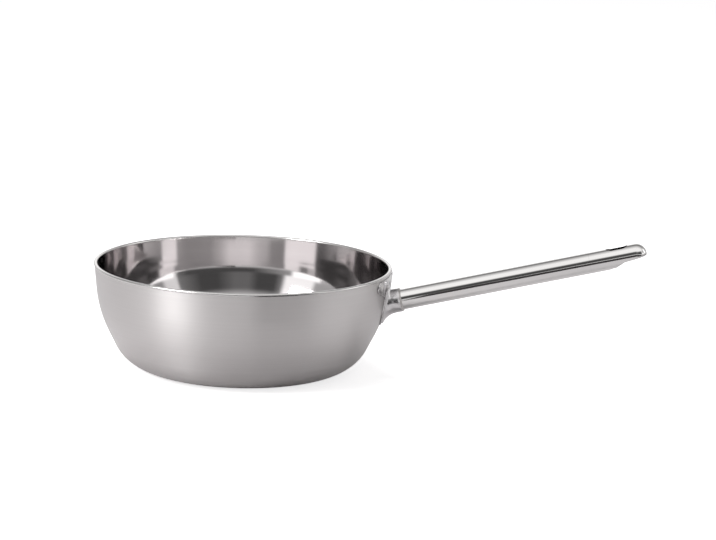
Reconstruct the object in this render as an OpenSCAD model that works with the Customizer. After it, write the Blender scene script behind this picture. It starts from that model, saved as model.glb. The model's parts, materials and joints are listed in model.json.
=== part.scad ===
// Saucier pan: a clad bowl with a bulged wall, and a welded tubular handle.
// Millimetres, +Z up, origin at the centre of the base, handle towards +X.

/* [Bowl] */
// Inside diameter of the bowl at the rim
rim_inner_d = 240; // [220:5:260]
// Height of the rim above the table
bowl_h = 87; // [84:1:92]
// Radius of the rounded corner between base and wall
corner_r = 35.5; // [30:0.5:38]
// Slope of the lower wall, in degrees from level
lower_slope = 63.5; // [62:0.5:66]
// Radius of the wall's bulge, seen in section
bulge_r = 99; // [94:1:104]
// Slope of the straight flare below the rim, in degrees from level
flare_slope = 84.3; // [83:0.1:86]
// Height of the straight flare below the rim
flare_h = 21.5; // [19:0.5:24]

/* [Clad sheet] */
// Thickness of the outer stainless skin
outer_skin_t = 0.5; // [0.4:0.1:0.8]
// Thickness of the aluminium core
core_t = 1.5; // [1.2:0.1:2.5]
// Thickness of the inner stainless skin
inner_skin_t = 0.5; // [0.4:0.1:0.8]
// Height of the closed lip at the rim
lip_h = 2; // [1.8:0.1:3]
// How far the lip stands proud of each face of the sheet
lip_proud = 0.25; // [0.1:0.05:0.4]

/* [Handle] */
// Angle at which the handle rises, in degrees from level
handle_rise = 14.2; // [12:0.1:16]
// Height of the handle's axis at the rim's outer radius
handle_z = 60.6; // [58:0.1:63]
// Length along the axis from the rim's outer radius to the tip
handle_reach = 213.6; // [205:0.2:225]
// Outside diameter of the tube
tube_d = 17.2; // [16:0.1:18]
// Wall of the tube
tube_wall = 1.2; // [1:0.1:1.5]
// Length along the axis from the rim's outer radius to the mouth of the collar
collar_end = 9.2; // [8:0.1:12]
// Outside diameter of the bracket's collar
collar_d = 19.8; // [19.6:0.1:21]
// Radius of the flare where the collar spreads into the bracket
collar_flare_r = 16; // [14:0.5:18]

/* [Handle end] */
// Length of the solid end piece, from its seam to the tip
end_length = 46; // [42:1:60]
// Width of the hanging slot
slot_w = 9; // [7:0.5:10]
// Length of the hanging slot along the handle
slot_l = 17.6; // [15:0.2:20]
// Distance from the tip to the near end of the slot
slot_from_tip = 14.4; // [14:0.2:18]
// Depth of the underside below the handle's axis, where its slant ends
flat_depth = 3.6; // [3:0.1:5.5]
// Depth of the underside below the handle's axis, at the tip
tip_depth = 1.6; // [1:0.1:3]
// Length of the slant that leads to the flat underside
slant_l = 10; // [6:0.5:14]

/* [Bracket] */
// Height of the bracket's top edge above the table
bracket_top = 83.8; // [82:0.1:84.5]
// Half the width of the bracket across its wings
wing_half_w = 39.2; // [36:0.2:42]
// Rounding of each wing's tip
wing_tip_r = 5; // [4:0.5:6]
// Slope of each wing's lower edge, in degrees from level
wing_slope = 20; // [16:1:24]
// Half the width of the tongue below the collar
tongue_half_w = 17; // [15:0.5:18]
// Height of the tongue's lowest point above the table
tongue_bottom = 41; // [39:0.5:44]
// Rounding of the inside corner between wing and tongue
shoulder_r = 4; // [3:0.5:5]
// Thickness of the wings
wing_t = 0.8; // [0.7:0.1:1.2]
// Thickness of the raised middle panel and tongue
panel_t = 1.4; // [1.3:0.1:1.8]
// Half the width of the raised panel at the top
panel_half_w = 28; // [25:0.5:29]
// Inset of the raised panel from the bracket's edge
panel_inset = 1.4; // [1:0.1:2]

/* [Welds] */
// Gap between wall and bracket, filled by the spot welds
spot_t = 0.2; // [0.15:0.05:0.3]
// Diameter of each spot weld
spot_d = 5; // [4:0.5:6]
// Leg of the weld at the collar's mouth along the tube
fillet_l = 1.4; // [1:0.1:1.8]
// Width of the flush weld ring at the end piece
ring_w = 1; // [0.8:0.1:1.5]

/* [Hidden] */
// Names of the sub-parts, and the one that is built
$fn = 96;

// Steps in each arc of a section or outline
arc_steps = 12;
wall_t = outer_skin_t + core_t + inner_skin_t;
rim_r = rim_inner_d / 2 + wall_t;
skin_top = bowl_h - lip_h;

// The outer face in section, from the rim down: flare, bulge, straight lower wall, corner, base
flare_foot = [rim_r - flare_h / tan(flare_slope), bowl_h - flare_h];
bulge_centre = flare_foot + bulge_r * [-sin(flare_slope), cos(flare_slope)];
bulge_foot = bulge_centre + bulge_r * [sin(lower_slope), -cos(lower_slope)];
corner_top_z = corner_r * (1 - cos(lower_slope));
base_r = bulge_foot.x - (bulge_foot.y - corner_top_z) / tan(lower_slope) - corner_r * sin(lower_slope);

tube_r = tube_d / 2;
collar_r = collar_d / 2;
// Room round the tube in the bracket, and round the spigot in the tube
fit_gap = 0.03;
bore_r = tube_r + fit_gap;
// Distance from the rim's outer radius at which the tube begins
tube_start = 1.6;
// Distance at which the collar begins to flare, and the sweep that brings the flare flush with the tongue
flare_at = 3.6;
flare_sweep = 67;
seam_at = handle_reach - end_length;
nose_at = handle_reach - tube_r;
slot_far = handle_reach - slot_from_tip - slot_w / 2;
slot_near = slot_far - slot_l + slot_w;
spigot_r = tube_r - tube_wall - fit_gap;
spigot_l = 12;
// Where the slant below the end piece starts and where the flat begins
flat_at = slot_far;
slant_at = flat_at - slant_l;
// Depth to which the bracket's shapes are carried into the bowl before they are cut back
root_depth = 30;
// How far a shape that cuts or joins another is carried past its face
past = 1;
// How far the bead at the collar's mouth bulges beyond a straight chamfer
bead_crown = 0.15;
// Centres of the spot welds: offset across the bracket and height
spot_places = [[-32, 79], [-21, 76], [-11, 80], [11, 80], [21, 76], [32, 79], [-11.5, 52], [11.5, 52], [0, 46]];

// Points on an arc about a centre, from angle a0 to angle a1
function arc(centre, r, a0, a1, steps = arc_steps) =
    [for (i = [0 : steps]) centre + r * [cos(a0 + (a1 - a0) * i / steps), sin(a0 + (a1 - a0) * i / steps)]];

function reversed(list) = [for (i = [len(list) - 1 : -1 : 0]) list[i]];

// Radius of the flare at a height, for the face that lies depth below the outer face
function flare_x(depth, z) = rim_r - (bowl_h - z) / tan(flare_slope) - depth / sin(flare_slope);

// Section of the face that lies depth below the outer face, from the axis up to a height
function section(depth, top) = concat(
    [[0, depth]],
    arc([base_r, corner_r], corner_r - depth, -90, lower_slope - 90),
    arc(bulge_centre, bulge_r - depth, lower_slope - 90, flare_slope - 90),
    [[flare_x(depth, top), top]]
);

// A layer of the bowl between two depths, up to a height
module layer(outer_depth, inner_depth, top)
    rotate_extrude()
        polygon(concat(section(outer_depth, top), reversed(section(inner_depth, top))));

// The filled bowl, larger than the outer face by a margin
module filled_bowl(margin)
    rotate_extrude()
        polygon(concat(section(-margin, bowl_h), [[0, bowl_h]]));

// Puts children on the handle's axis, which becomes X, from the rim's outer radius
module on_handle()
    translate([rim_r, 0, handle_z])
        rotate([0, -handle_rise, 0])
            children();

// A solid turned about the handle's axis from [radius, distance] points
module turned(points)
    rotate([0, 90, 0])
        rotate_extrude()
            polygon(points);

// A round bar on the handle's axis
module bar(r, from, to)
    translate([from, 0, 0])
        rotate([0, 90, 0])
            cylinder(r = r, h = to - from);

// Right half of the bracket's outline: a wing with a round tip, a rounded shoulder and half a round tongue
function half_outline(half_w, inset) =
    let (
        tip_r = wing_tip_r - inset,
        tip = [half_w - wing_tip_r, bracket_top - wing_tip_r],
        side = tongue_half_w - inset,
        edge = tip + tip_r * [sin(wing_slope), -cos(wing_slope)],
        round_r = shoulder_r + inset,
        shoulder_x = side + round_r,
        shoulder = [shoulder_x,
                    edge.y - (edge.x - shoulder_x) * tan(wing_slope) - round_r / cos(wing_slope)]
    )
    concat(
        arc(tip, tip_r, 90, wing_slope - 90),
        arc(shoulder, round_r, 90 + wing_slope, 180),
        arc([0, tongue_bottom + tongue_half_w], side, 0, -90)
    );

// The outline as a bar that runs along X through the bowl's wall on the handle's side
module outline_bar(half_w, inset) {
    right = half_outline(half_w, inset);
    left = reversed([for (p = right) [-p.x, p.y]]);
    translate([rim_r - root_depth, 0, 0])
        rotate([90, 0, 90])
            linear_extrude(2 * root_depth)
                polygon(concat(right, left));
}

// A plate that hugs the wall inside the outline, at spot weld distance
module hugging_plate(thickness, half_w, inset)
    intersection() {
        layer(-spot_t - thickness, -spot_t, bowl_h);
        outline_bar(half_w, inset);
    }

module outer_skin()
    color([0.72, 0.71, 0.70])
        layer(0, outer_skin_t, skin_top);

module aluminium_core()
    color([0.80, 0.81, 0.82])
        layer(outer_skin_t, outer_skin_t + core_t, skin_top);

module inner_skin()
    color([0.60, 0.58, 0.58])
        layer(outer_skin_t + core_t, wall_t, skin_top);

module rim_weld() {
    half_w = wall_t / 2 + lip_proud;
    middle = [rim_r - wall_t / 2, bowl_h - half_w];
    color([0.85, 0.84, 0.83])
        rotate_extrude()
            polygon(concat(
                [[middle.x + half_w, skin_top]],
                arc(middle, half_w, 0, 180, 2 * arc_steps),
                [[middle.x - half_w, skin_top]]
            ));
}

module handle_bracket()
    color([0.66, 0.64, 0.66])
        difference() {
            union() {
                hugging_plate(wing_t, wing_half_w, 0);
                hugging_plate(panel_t, panel_half_w, panel_inset);
                on_handle()
                    bar(collar_r, flare_at - past, collar_end);
                intersection() {
                    on_handle()
                        turned(concat(
                            [[0, flare_at]],
                            arc([collar_r + collar_flare_r, flare_at], collar_flare_r, 180, 180 + flare_sweep),
                            [[0, flare_at - collar_flare_r * sin(flare_sweep)]]
                        ));
                    outline_bar(panel_half_w, panel_inset);
                }
            }
            filled_bowl(spot_t);
            on_handle()
                bar(bore_r, -root_depth, collar_end + past);
        }

module spot_welds()
    color([0.45, 0.43, 0.42])
        intersection() {
            layer(-spot_t, 0, bowl_h);
            for (place = spot_places)
                translate([rim_r - root_depth, place.x, place.y])
                    rotate([0, 90, 0])
                        cylinder(d = spot_d, h = 2 * root_depth);
        }

module handle_tube()
    color([0.78, 0.77, 0.76])
        on_handle()
            difference() {
                bar(tube_r, tube_start, seam_at - ring_w);
                bar(tube_r - tube_wall, tube_start - past, seam_at);
            }

module socket_weld()
    color([0.70, 0.68, 0.66])
        on_handle()
            turned([
                [tube_r, collar_end],
                [collar_r, collar_end],
                [(tube_r + collar_r) / 2 + bead_crown, collar_end + fillet_l / 2 + bead_crown],
                [tube_r, collar_end + fillet_l]
            ]);

module handle_end()
    color([0.74, 0.73, 0.72])
        on_handle()
            difference() {
                union() {
                    bar(tube_r, seam_at, nose_at);
                    bar(spigot_r, seam_at - ring_w - spigot_l, seam_at + past);
                    translate([nose_at, 0, 0])
                        sphere(tube_r);
                }
                // Slanted and flat underside
                rotate([90, 0, 0])
                    translate([0, 0, -tube_d])
                        linear_extrude(2 * tube_d)
                            polygon([
                                [slant_at, -tube_r],
                                [flat_at, -flat_depth],
                                [handle_reach + past, -tip_depth],
                                [handle_reach + past, -tube_d],
                                [slant_at, -tube_d]
                            ]);
                // Hanging slot with round ends
                translate([0, 0, -tube_d])
                    linear_extrude(2 * tube_d) {
                        translate([slot_near, 0])
                            circle(d = slot_w);
                        translate([slot_far, 0])
                            circle(d = slot_w);
                        translate([slot_near, -slot_w / 2])
                            square([slot_far - slot_near, slot_w]);
                    }
            }

module end_weld()
    color([0.70, 0.68, 0.66])
        on_handle()
            difference() {
                bar(tube_r, seam_at - ring_w, seam_at);
                bar(spigot_r, seam_at - ring_w - past, seam_at + past);
            }

outer_skin();
aluminium_core();
inner_skin();
rim_weld();
handle_bracket();
spot_welds();
handle_tube();
socket_weld();
handle_end();
end_weld();
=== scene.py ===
# A saucier pan of clad sheet with a welded tubular handle, in the studio light of its photograph.
import json
from math import cos, pi, radians, sin, tan

import bpy
from mathutils import Matrix, Vector

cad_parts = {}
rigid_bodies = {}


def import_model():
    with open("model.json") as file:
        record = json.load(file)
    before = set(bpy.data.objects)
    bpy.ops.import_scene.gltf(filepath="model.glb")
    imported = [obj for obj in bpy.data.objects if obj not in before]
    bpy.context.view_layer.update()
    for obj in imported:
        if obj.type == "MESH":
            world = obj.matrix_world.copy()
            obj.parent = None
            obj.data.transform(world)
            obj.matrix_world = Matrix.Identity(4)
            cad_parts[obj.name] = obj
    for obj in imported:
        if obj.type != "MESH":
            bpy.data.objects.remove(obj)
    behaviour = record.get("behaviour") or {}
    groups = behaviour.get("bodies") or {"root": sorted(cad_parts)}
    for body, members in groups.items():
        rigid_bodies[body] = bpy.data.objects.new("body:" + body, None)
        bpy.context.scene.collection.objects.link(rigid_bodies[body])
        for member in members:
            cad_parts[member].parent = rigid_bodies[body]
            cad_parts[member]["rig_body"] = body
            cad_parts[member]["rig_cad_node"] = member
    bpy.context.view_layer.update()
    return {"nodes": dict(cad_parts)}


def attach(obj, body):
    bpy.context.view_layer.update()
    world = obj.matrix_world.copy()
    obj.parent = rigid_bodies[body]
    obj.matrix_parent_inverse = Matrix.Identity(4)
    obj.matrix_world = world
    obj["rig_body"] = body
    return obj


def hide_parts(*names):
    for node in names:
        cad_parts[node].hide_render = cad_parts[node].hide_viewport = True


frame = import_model()

# Outside skin of the bowl.
# One drawn sheet of stainless steel from the flat base to the lip, satin brushed round the bowl.
# The pan's sizes are in millimetres. The section runs base, corner, straight wall, bulge, flare.
MM = 0.001
RIM_R, RIM_Z, LIP_H = 122.5, 87, 2
CORNER_R, LOWER_SLOPE, BULGE_R = 35.5, radians(63.5), 99
FLARE_SLOPE, FLARE_H = radians(84.3), 21.5
SKIN_T, CORE_T = 0.5, 1.5
FLAT_RINGS = (1, 25, 45, 60, 69)
BOWL_SIDES, ARC_STEPS = 256, 20
MERGE_WITHIN, SMOOTH_UNDER = 1e-6, radians(32)


def arc(centre, r, start, end, steps=ARC_STEPS):
    """Points on an arc about a centre in the plane of radius and height."""
    return [(centre[0] + r * cos(start + (end - start) * i / steps),
             centre[1] + r * sin(start + (end - start) * i / steps)) for i in range(steps + 1)]


def bowl_face(depth, top):
    """The face that lies depth inside the bowl's outer face, from the base's middle up to a height."""
    foot = (RIM_R - FLARE_H / tan(FLARE_SLOPE), RIM_Z - FLARE_H)
    bulge = (foot[0] - BULGE_R * sin(FLARE_SLOPE), foot[1] + BULGE_R * cos(FLARE_SLOPE))
    bulge_foot = (bulge[0] + BULGE_R * sin(LOWER_SLOPE), bulge[1] - BULGE_R * cos(LOWER_SLOPE))
    corner_top = CORNER_R * (1 - cos(LOWER_SLOPE))
    corner_r = bulge_foot[0] - (bulge_foot[1] - corner_top) / tan(LOWER_SLOPE)
    base_r = corner_r - CORNER_R * sin(LOWER_SLOPE)
    edge_r = RIM_R - (RIM_Z - top) / tan(FLARE_SLOPE) - depth / sin(FLARE_SLOPE)
    return ([(r, depth) for r in FLAT_RINGS]
            + arc((base_r, CORNER_R), CORNER_R - depth, -pi / 2, LOWER_SLOPE - pi / 2)
            + arc(bulge, BULGE_R - depth, LOWER_SLOPE - pi / 2, FLARE_SLOPE - pi / 2)
            + [(edge_r, top)])


def turned(name, outline, place=Matrix.Identity(4), sides=BOWL_SIDES):
    """A piece turned about Z from (radius, height) points and put in place.

    Its outline ends in itself, or its two ends are closed."""
    bpy.ops.object.select_all(action="DESELECT")
    (r, z), *others = outline
    bpy.ops.mesh.primitive_circle_add(vertices=sides, radius=r * MM, location=(0, 0, z * MM))
    piece = bpy.context.object
    piece.name = piece.data.name = name
    bpy.ops.object.transform_apply(location=True, rotation=True, scale=True)
    bpy.ops.object.mode_set(mode="EDIT")
    for next_r, next_z in others:
        bpy.ops.mesh.extrude_region_move(TRANSFORM_OT_translate={"value": (0, 0, (next_z - z) * MM)})
        bpy.ops.transform.resize(value=(next_r / r, next_r / r, 1), center_override=(0, 0, 0))
        r, z = next_r, next_z
    bpy.ops.mesh.select_all(action="SELECT")
    bpy.ops.mesh.remove_doubles(threshold=MERGE_WITHIN)
    bpy.ops.mesh.fill_holes(sides=0)
    bpy.ops.mesh.select_all(action="SELECT")
    bpy.ops.mesh.normals_make_consistent(inside=False)
    bpy.ops.object.mode_set(mode="OBJECT")
    piece.matrix_world = place
    bpy.ops.object.transform_apply(location=True, rotation=True, scale=True)
    bpy.ops.object.shade_smooth_by_angle(angle=SMOOTH_UNDER)
    return piece


def grain_group():
    """Brushing that runs round the bowl's axis, with soft cloudy wear.

    It puts out the height of the fine lines, a tone for the broad ones and a cloud."""
    tree = bpy.data.node_groups.new("brushed grain", "ShaderNodeTree")
    for way, names in (("INPUT", ("Along", "Across")), ("OUTPUT", ("Height", "Tone", "Cloud"))):
        for name in names:
            tree.interface.new_socket(name=name, in_out=way, socket_type="NodeSocketFloat")
    node, link = tree.nodes.new, tree.links.new
    given, out = node("NodeGroupInput"), node("NodeGroupOutput")
    place, split = node("ShaderNodeTexCoord"), node("ShaderNodeSeparateXYZ")
    flat, grain_place = node("ShaderNodeCombineXYZ"), node("ShaderNodeCombineXYZ")
    radius, ring = node("ShaderNodeVectorMath"), node("ShaderNodeMath")
    radius.operation, ring.operation = "LENGTH", "ADD"
    link(place.outputs["Object"], split.inputs[0])
    link(split.outputs["X"], flat.inputs["X"])
    link(split.outputs["Y"], flat.inputs["Y"])
    link(flat.outputs[0], radius.inputs[0])
    link(radius.outputs["Value"], ring.inputs[0])
    link(split.outputs["Z"], ring.inputs[1])
    for axis, measure, scale in (("X", split.outputs["X"], "Along"), ("Y", split.outputs["Y"], "Along"),
                                 ("Z", ring.outputs[0], "Across")):
        times = node("ShaderNodeMath")
        times.operation = "MULTIPLY"
        link(measure, times.inputs[0])
        link(given.outputs[scale], times.inputs[1])
        link(times.outputs[0], grain_place.inputs[axis])
    for result, where, scale, detail in (("Height", grain_place.outputs[0], 1.0, 4),
                                         ("Tone", grain_place.outputs[0], 0.22, 2),
                                         ("Cloud", place.outputs["Object"], 26, 3)):
        noise = node("ShaderNodeTexNoise")
        noise.inputs["Scale"].default_value, noise.inputs["Detail"].default_value = scale, detail
        link(where, noise.inputs["Vector"])
        link(noise.outputs["Fac"], out.inputs[result])
    return tree


GRAIN = grain_group()
ROUND_THE_BOWL = 0.25


def steel(name, *, dark, light, smooth, rough, along, across, bump, drawn_out=0.0):
    """Bare metal whose colour and roughness wander with its grain, with a bump of the brushing.

    The grain's scales along and across the brushing are per metre, and the bump is in millimetres."""
    metal = bpy.data.materials.new(name)
    metal.use_nodes = True
    node, link = metal.node_tree.nodes.new, metal.node_tree.links.new
    body = metal.node_tree.nodes["Principled BSDF"]
    body.inputs["Metallic"].default_value = 1.0
    body.inputs["Anisotropic"].default_value = drawn_out
    body.inputs["Anisotropic Rotation"].default_value = ROUND_THE_BOWL
    grain = node("ShaderNodeGroup")
    grain.node_tree = GRAIN
    grain.inputs["Along"].default_value, grain.inputs["Across"].default_value = along, across
    tone, gloss, height = node("ShaderNodeMix"), node("ShaderNodeMapRange"), node("ShaderNodeBump")
    tone.data_type = "RGBA"
    tone.inputs["A"].default_value, tone.inputs["B"].default_value = (*dark, 1), (*light, 1)
    gloss.inputs["To Min"].default_value, gloss.inputs["To Max"].default_value = smooth, rough
    height.inputs["Strength"].default_value, height.inputs["Distance"].default_value = 1.0, bump * MM
    link(grain.outputs["Tone"], tone.inputs["Factor"])
    link(tone.outputs["Result"], body.inputs["Base Color"])
    link(grain.outputs["Cloud"], gloss.inputs["Value"])
    link(gloss.outputs["Result"], body.inputs["Roughness"])
    link(grain.outputs["Height"], height.inputs["Height"])
    link(height.outputs["Normal"], body.inputs["Normal"])
    return metal


def dress(piece, metal, slot, *nodes):
    """Gives a piece its metal in a material slot, and lets it stand for CAD nodes. The slot argument is not
    used.
    """
    piece.data.materials.clear()
    piece.data.materials.append(metal)
    if nodes:
        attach(piece, "root")
        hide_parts(*nodes)


SKIN_TOP = RIM_Z - LIP_H
outside = turned("bowl_outside", bowl_face(0, SKIN_TOP) + bowl_face(SKIN_T, SKIN_TOP)[::-1])
satin = steel("satin steel", dark=(0.625, 0.605, 0.60), light=(0.665, 0.645, 0.64), smooth=0.42, rough=0.47,
              along=12, across=3000, bump=0.004, drawn_out=0.85)
dress(outside, satin, "satin_steel", "outer_skin")

# Cooking skin of the bowl.
# The inner face of the same drawn sheet, polished bright, with faint rings from turning and stirring.
WALL_T = 2 * SKIN_T + CORE_T
inside = turned("bowl_inside", bowl_face(SKIN_T + CORE_T, SKIN_TOP) + bowl_face(WALL_T, SKIN_TOP)[::-1])
polished = steel("polished steel", dark=(0.63, 0.60, 0.605), light=(0.69, 0.665, 0.665),
                 smooth=0.05, rough=0.09, along=4, across=700, bump=0.0006)
dress(inside, polished, "polished_steel", "inner_skin")

# Aluminium core.
# The soft middle layer that spreads the heat, rolled between the skins and seen nowhere.
rolled = steel("rolled aluminium", dark=(0.76, 0.77, 0.78), light=(0.84, 0.85, 0.86),
               smooth=0.35, rough=0.5, along=40, across=1500, bump=0.004)
dress(frame["nodes"]["aluminium_core"], rolled, "aluminium_core")

# Lip of the rim.
# The skins are closed over the core in a thin round bead, ground and polished.
LIP_PROUD = 0.25
LIP_R = WALL_T / 2 + LIP_PROUD
lip_middle = (RIM_R - WALL_T / 2, RIM_Z - LIP_R)
lip_outline = ([(lip_middle[0] + LIP_R, SKIN_TOP)] + arc(lip_middle, LIP_R, 0, pi)
               + [(lip_middle[0] - LIP_R, SKIN_TOP), (lip_middle[0] + LIP_R, SKIN_TOP)])
lip = turned("rim_lip", lip_outline)
lip_metal = steel("lip steel", dark=(0.58, 0.565, 0.56), light=(0.66, 0.65, 0.64),
                  smooth=0.16, rough=0.24, along=10, across=900, bump=0.002)
dress(lip, lip_metal, "rim_steel", "rim_weld")

# Handle bracket with its spot welds.
# A pressed steel plate with two wings, a tongue and a drawn collar, tumbled bright. Nine spot welds
# hold it to the wall.
EDGE_OVER = radians(35)
bpy.ops.object.select_all(action="DESELECT")
bracket = frame["nodes"]["handle_bracket"].copy()
bracket.data = bracket.data.copy()
bracket.name = bracket.data.name = "bracket_plate"
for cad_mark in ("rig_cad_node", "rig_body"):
    del bracket[cad_mark]
bpy.context.scene.collection.objects.link(bracket)
bpy.context.view_layer.objects.active = bracket
bracket.select_set(True)
bpy.ops.object.mode_set(mode="EDIT")
bpy.ops.mesh.select_all(action="SELECT")
bpy.ops.mesh.remove_doubles(threshold=MERGE_WITHIN)
bpy.ops.object.mode_set(mode="OBJECT")
bpy.ops.object.shade_smooth_by_angle(angle=EDGE_OVER)
tumbled = steel("tumbled steel", dark=(0.58, 0.56, 0.57), light=(0.66, 0.65, 0.65),
                smooth=0.18, rough=0.28, along=60, across=400, bump=0.006)
dress(bracket, tumbled, "bracket_steel", "handle_bracket")
weld_metal = steel("weld steel", dark=(0.46, 0.44, 0.43), light=(0.55, 0.53, 0.52),
                   smooth=0.3, rough=0.42, along=300, across=300, bump=0.01)
dress(frame["nodes"]["spot_welds"], weld_metal, "weld_steel")

# Handle tube.
# A straight length of stock stainless tube, mirror polished along its length. It starts inside the
# bracket's collar and ends on the spigot of the end piece.
HANDLE_RISE, HANDLE_Z, HANDLE_REACH = radians(14.2), 60.6, 213.6
TUBE_R, TUBE_WALL, TUBE_START = 8.6, 1.2, 1.6
END_LENGTH, RING_W = 46, 1
HANDLE_SIDES = 128
on_handle = (Matrix.Translation((RIM_R * MM, 0, HANDLE_Z * MM))
             @ Matrix.Rotation(pi / 2 - HANDLE_RISE, 4, "Y"))
seam_at = HANDLE_REACH - END_LENGTH


def pipe(name, outer, inner, start, end):
    """A length of tube on the handle's axis."""
    corners = [(outer, start), (outer, end), (inner, end), (inner, start), (outer, start)]
    return turned(name, corners, on_handle, HANDLE_SIDES)


tube = pipe("handle_tube_polished", TUBE_R, TUBE_R - TUBE_WALL, TUBE_START, seam_at - RING_W)
mirror = steel("mirror steel", dark=(0.66, 0.645, 0.64), light=(0.74, 0.73, 0.72),
               smooth=0.05, rough=0.10, along=30, across=60, bump=0.002)
dress(tube, mirror, "handle_steel", "handle_tube")

# Seam welds of the handle.
# A small bead closes the collar's mouth round the tube, and a ring ground flush joins the end piece.
COLLAR_R, COLLAR_END = 9.9, 9.2
FILLET_L, BEAD_CROWN = 1.4, 0.15
bead_crest = ((TUBE_R + COLLAR_R) / 2 + BEAD_CROWN, COLLAR_END + FILLET_L / 2 + BEAD_CROWN)
bead_outline = [(TUBE_R, COLLAR_END), (COLLAR_R, COLLAR_END), bead_crest,
                (TUBE_R, COLLAR_END + FILLET_L), (TUBE_R, COLLAR_END)]
bead = turned("collar_bead", bead_outline, on_handle, HANDLE_SIDES)
dress(bead, weld_metal, "weld_steel", "socket_weld")
ring = pipe("flush_ring", TUBE_R, TUBE_R - TUBE_WALL, seam_at - RING_W, seam_at)
ring_metal = steel("ground weld steel", dark=(0.64, 0.625, 0.62), light=(0.70, 0.69, 0.68),
                   smooth=0.08, rough=0.14, along=30, across=60, bump=0.003)
dress(ring, ring_metal, "handle_steel", "end_weld")

# Handle end.
# A solid bar with a round nose, turned down to fit the tube, cut away below and slotted for hanging.
SLOT_W, SLOT_L, SLOT_FROM_TIP = 9, 17.6, 14.4
FLAT_DEPTH, TIP_DEPTH, TIP_PAST, SLANT_L = 3.6, 1.6, 1, 10
FIT_GAP, SPIGOT_L = 0.03, 12
NOSE_END, NOSE_STEPS, SLOT_SIDES = radians(88), 24, 64
CUT_THROUGH, CUT_BELOW = 4 * TUBE_R, 3 * TUBE_R
spigot_r = TUBE_R - TUBE_WALL - FIT_GAP
nose_at = HANDLE_REACH - TUBE_R
slot_far = HANDLE_REACH - SLOT_FROM_TIP - SLOT_W / 2
slot_near = slot_far - SLOT_L + SLOT_W
slant_at = slot_far - SLANT_L
bar = ([(spigot_r, seam_at - RING_W - SPIGOT_L), (spigot_r, seam_at), (TUBE_R, seam_at),
        (TUBE_R, slot_near - SLOT_W)] + arc((0, nose_at), TUBE_R, 0, NOSE_END, NOSE_STEPS))
handle_end = turned("handle_end_polished", bar, sides=HANDLE_SIDES)


def cut(piece, cutter):
    """Takes one closed shape out of a piece."""
    away = piece.modifiers.new("cut", "BOOLEAN")
    away.operation, away.solver, away.object = "DIFFERENCE", "EXACT", cutter
    bpy.ops.object.select_all(action="DESELECT")
    piece.select_set(True)
    bpy.context.view_layer.objects.active = piece
    bpy.ops.object.modifier_apply(modifier=away.name)
    bpy.data.objects.remove(cutter)


def slot_cutter():
    """A bar with round ends that stands across the handle, which here still lies on Z."""
    bpy.ops.object.select_all(action="DESELECT")
    bpy.ops.mesh.primitive_cylinder_add(vertices=SLOT_SIDES, radius=SLOT_W / 2 * MM, depth=CUT_THROUGH * MM,
                                        location=(0, 0, slot_near * MM), rotation=(0, pi / 2, 0))
    cutter = bpy.context.object
    bpy.ops.object.transform_apply(location=True, rotation=True, scale=True)
    far_half = [v.index for v in cutter.data.vertices if v.co.z > slot_near * MM - MERGE_WITHIN]
    for index in far_half:
        cutter.data.vertices[index].co.z += (slot_far - slot_near) * MM
    return cutter


def underside_cutter():
    """A block below the handle, whose top slants up to the flat and on to the tip."""
    past_tip = HANDLE_REACH + TIP_PAST
    corners = [(TUBE_R, slant_at), (FLAT_DEPTH, slot_far), (TIP_DEPTH, past_tip),
               (CUT_BELOW, past_tip), (CUT_BELOW, slant_at)]
    bpy.ops.object.select_all(action="DESELECT")
    bpy.ops.mesh.primitive_circle_add(vertices=len(corners), radius=MM, fill_type="NGON")
    cutter = bpy.context.object
    for vertex, (x, z) in zip(cutter.data.vertices, corners):
        vertex.co = (x * MM, -CUT_THROUGH / 2 * MM, z * MM)
    bpy.ops.object.mode_set(mode="EDIT")
    bpy.ops.mesh.extrude_region_move(TRANSFORM_OT_translate={"value": (0, CUT_THROUGH * MM, 0)})
    bpy.ops.mesh.select_all(action="SELECT")
    bpy.ops.mesh.normals_make_consistent(inside=False)
    bpy.ops.object.mode_set(mode="OBJECT")
    return cutter


cut(handle_end, underside_cutter())
cut(handle_end, slot_cutter())
bpy.ops.object.select_all(action="DESELECT")
handle_end.select_set(True)
bpy.context.view_layer.objects.active = handle_end
handle_end.matrix_world = on_handle
bpy.ops.object.transform_apply(location=True, rotation=True, scale=True)
bpy.ops.object.shade_smooth_by_angle(angle=EDGE_OVER)
dress(handle_end, mirror, "handle_steel", "handle_end")

# Floor.
# A pale matt sheet of paper that runs on to a white backdrop, and keeps the pan's soft shadow.
# The sizes of the stage are in metres.
FLOOR_SIZE, FLOOR_GLOW = 12, 0.75
PAPER, PAPER_ROUGH, WHITE = (0.8, 0.785, 0.795, 1), 0.9, (1, 1, 1, 1)
bpy.ops.object.select_all(action="DESELECT")
bpy.ops.mesh.primitive_plane_add(size=FLOOR_SIZE, location=(0, 0, 0))
floor = bpy.context.object
floor.name = "floor"
paper = bpy.data.materials.new("pale paper")
paper.use_nodes = True
node, link = paper.node_tree.nodes.new, paper.node_tree.links.new
sheet = paper.node_tree.nodes["Principled BSDF"]
sheet.inputs["Roughness"].default_value = PAPER_ROUGH
sheet.inputs["Specular IOR Level"].default_value = 0.0
sheet.inputs["Base Color"].default_value = PAPER
sheet.inputs["Emission Color"].default_value = WHITE
path, glow = node("ShaderNodeLightPath"), node("ShaderNodeMath")
glow.operation = "MULTIPLY"
glow.inputs[1].default_value = FLOOR_GLOW
link(path.outputs["Is Camera Ray"], glow.inputs[0])
link(glow.outputs[0], sheet.inputs["Emission Strength"])
floor.data.materials.append(paper)

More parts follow.
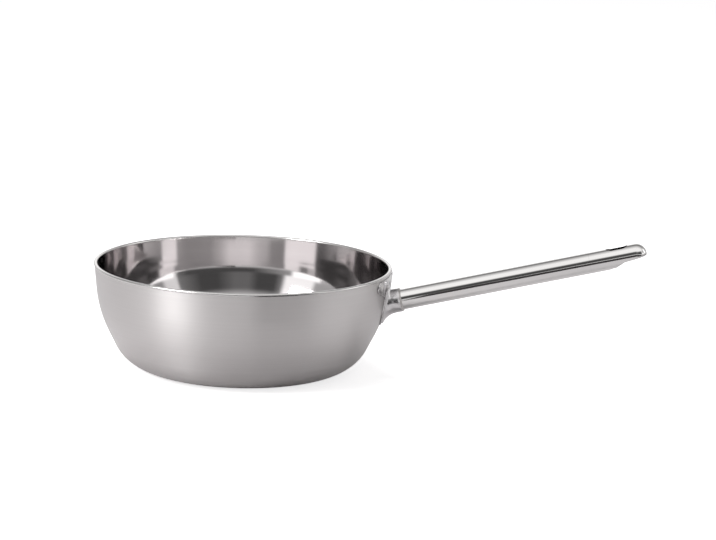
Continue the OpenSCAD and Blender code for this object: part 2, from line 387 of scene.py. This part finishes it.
# Studio light.
# A plain white room for the eye. Polished steel mirrors what stands round the table: two tall soft
# boxes, a lit back wall, the dark side of the room behind the camera, and a bright ceiling in front.
DARK_SIDE, TABLE_EDGE = 0.08, 0.85
CEILING_BEHIND, CEILING_FRONT = 0.2, 1.25
CEILING_TURNS, CEILING_TURNED = -0.6, 0.2
ROOM_LEVEL, ROOM_BRIGHTEST = 0.27, 2.0
EDGE_TO_LOW, LOW_TO_HIGH, HIGH_TO_CEILING = (6, 9), (11, 14), (28, 45)
LOW_BANDS = ((-180, 1.45), (-150, 1.4), (-135, 0.9), (-118, 0.55), (-80, 0.48), (-63, 0.6),
             (-59, 1.7), (-36, 1.7), (-32, 0.4), (-10, 0.2), (0, DARK_SIDE), (55, DARK_SIDE),
             (65, 0.2), (70, 1.75), (119, 1.75), (123, 0.45), (142, 0.5), (152, 0.9), (165, 1.0),
             (180, 1.45))
HIGH_BANDS = ((-180, 1.2), (-150, 1.15), (-135, 0.7), (-118, 0.48), (-93, 0.42), (-70, 0.5),
              (-58, 0.5), (-54, 1.35), (-30, 1.4), (-26, 0.25), (-20, DARK_SIDE), (-5, DARK_SIDE),
              (3, 0.18), (15, 0.18), (30, DARK_SIDE), (45, DARK_SIDE), (60, 0.2), (65, 0.25),
              (67, 1.0), (78, 0.95), (82, 0.36), (91, 0.36), (98, 1.6), (118, 1.7), (122, 0.45),
              (142, 0.49), (155, 0.72), (180, 1.2))
world = bpy.data.worlds.new("studio")
bpy.context.scene.world = world
world.use_nodes = True
node, link = world.node_tree.nodes.new, world.node_tree.links.new
room = world.node_tree.nodes["Background"]
room.inputs["Color"].default_value = WHITE
way, split = node("ShaderNodeTexCoord"), node("ShaderNodeSeparateXYZ")
front, bearing, share = node("ShaderNodeMath"), node("ShaderNodeMath"), node("ShaderNodeMapRange")
front.operation, bearing.operation = "MULTIPLY", "ARCTAN2"
front.inputs[1].default_value = -1
share.inputs["From Min"].default_value, share.inputs["From Max"].default_value = -pi, pi
link(way.outputs["Generated"], split.inputs[0])
link(split.outputs["Y"], front.inputs[0])
link(split.outputs["X"], bearing.inputs[0])
link(front.outputs[0], bearing.inputs[1])
link(bearing.outputs[0], share.inputs["Value"])


def room_bands(levels):
    """Upright bands of light round the room.

    The levels are pairs of a bearing from the front, in degrees, and a brightness."""
    bands, brighter = node("ShaderNodeValToRGB"), node("ShaderNodeMath")
    for stop, (degrees, level) in enumerate(levels):
        at = (degrees + 180) / 360
        mark = bands.color_ramp.elements[stop] if stop < 2 else bands.color_ramp.elements.new(at)
        mark.position = at
        mark.color = (*[level / ROOM_BRIGHTEST] * 3, 1)
    brighter.operation = "MULTIPLY"
    brighter.inputs[1].default_value = ROOM_BRIGHTEST
    link(share.outputs["Result"], bands.inputs["Fac"])
    link(bands.outputs["Color"], brighter.inputs[0])
    return brighter.outputs[0]


def blend_by_height(heights, below, above):
    """Passes from one level to another between two heights over the horizon, in degrees."""
    height, mix = node("ShaderNodeMapRange"), node("ShaderNodeMix")
    height.interpolation_type = "SMOOTHSTEP"
    for end, degrees in zip(("From Min", "From Max"), heights):
        height.inputs[end].default_value = sin(radians(degrees))
    link(split.outputs["Z"], height.inputs["Value"])
    link(height.outputs["Result"], mix.inputs["Factor"])
    for socket, level in (("A", below), ("B", above)):
        if isinstance(level, float):
            mix.inputs[socket].default_value = level
        else:
            link(level, mix.inputs[socket])
    return mix.outputs["Result"]


ceiling = node("ShaderNodeMapRange")
for end, level in (("From Min", CEILING_TURNS), ("From Max", CEILING_TURNED),
                   ("To Min", CEILING_BEHIND), ("To Max", CEILING_FRONT)):
    ceiling.inputs[end].default_value = level
link(front.outputs[0], ceiling.inputs["Value"])
walls = blend_by_height(EDGE_TO_LOW, TABLE_EDGE, room_bands(LOW_BANDS))
walls = blend_by_height(LOW_TO_HIGH, walls, room_bands(HIGH_BANDS))
mirrored = blend_by_height(HIGH_TO_CEILING, walls, ceiling.outputs["Result"])
path, seen, kind = node("ShaderNodeLightPath"), node("ShaderNodeMix"), node("ShaderNodeMix")
kind.inputs["A"].default_value = ROOM_LEVEL
link(path.outputs["Is Glossy Ray"], kind.inputs["Factor"])
link(mirrored, kind.inputs["B"])
seen.inputs["B"].default_value = 1.0
link(path.outputs["Is Camera Ray"], seen.inputs["Factor"])
link(kind.outputs["Result"], seen.inputs["A"])
link(seen.outputs["Result"], room.inputs["Strength"])

# Dark card.
# A low dark board that stands before the pan under the camera's view, and draws the dark line along
# the polished handle.
CARD_AWAY, CARD_TOP, CARD_LEFT, CARD_RIGHT = 0.36, 0.125, 0.1, 0.9
BOARD = (0.03, 0.025, 0.027, 1)
bpy.ops.object.select_all(action="DESELECT")
card_place = ((CARD_LEFT + CARD_RIGHT) / 2, -CARD_AWAY, CARD_TOP / 2)
bpy.ops.mesh.primitive_plane_add(size=1, location=card_place, rotation=(pi / 2, 0, 0))
card = bpy.context.object
card.name = "dark_card"
card.scale = (CARD_RIGHT - CARD_LEFT, CARD_TOP, 1)
bpy.ops.object.transform_apply(location=True, rotation=True, scale=True)
black = bpy.data.materials.new("dark board")
black.use_nodes = True
black.node_tree.nodes["Principled BSDF"].inputs["Base Color"].default_value = BOARD
card.data.materials.append(black)
card.visible_camera = card.visible_diffuse = card.visible_shadow = False

# Lamps.
# One soft lamp at the front left draws the light streak on the satin, and a large one above lights
# the floor, which the satin mirrors in turn. Both point at the middle of the bowl.
LAMP_AIM = Vector((0.0, 0.0, 0.05))


def soft_lamp(name, *, watts, size, place):
    """A square soft lamp at a place, turned to the bowl."""
    lamp = bpy.data.objects.new(name, bpy.data.lights.new(name, "AREA"))
    bpy.context.scene.collection.objects.link(lamp)
    lamp.data.energy, lamp.data.size = watts, size
    lamp.location = place
    lamp.rotation_mode = "QUATERNION"
    lamp.rotation_quaternion = (lamp.location - LAMP_AIM).to_track_quat("Z", "Y")
    lamp.visible_camera = False
    return lamp


soft_lamp("lamp_left", watts=13, size=0.6, place=(-1.05, -0.9, 0.95))
soft_lamp("lamp_above", watts=26, size=1.2, place=(-0.3, 0.4, 2.0)).visible_glossy = False

# Camera.
# It stands in front and a little to the handle's side, and looks down on the pan.
CAMERA_AWAY, CAMERA_TURN, CAMERA_RISE = 1.96, radians(8), radians(11.522)
LOOK_YAW, LOOK_PITCH, LOOK_ROLL = radians(2.829), radians(11.622), radians(1.927)
SENSOR_W, LENS = 36, 119.25
camera = bpy.data.objects.new("camera", bpy.data.cameras.new("camera"))
bpy.context.scene.collection.objects.link(camera)
camera.data.sensor_width, camera.data.lens = SENSOR_W, LENS
stand = Matrix.Rotation(CAMERA_TURN, 4, "Z") @ Matrix.Rotation(-CAMERA_RISE, 4, "X")
place = Matrix.Translation((0, 0, RIM_Z * MM)) @ stand @ Matrix.Translation((0, -CAMERA_AWAY, 0))
look = (Matrix.Rotation(CAMERA_TURN - LOOK_YAW, 4, "Z") @ Matrix.Rotation(pi / 2 - LOOK_PITCH, 4, "X")
        @ Matrix.Rotation(LOOK_ROLL, 4, "Z"))
camera.matrix_world = Matrix.Translation(place.translation) @ look
bpy.context.scene.camera = camera
bpy.context.scene.view_settings.view_transform = "Standard"
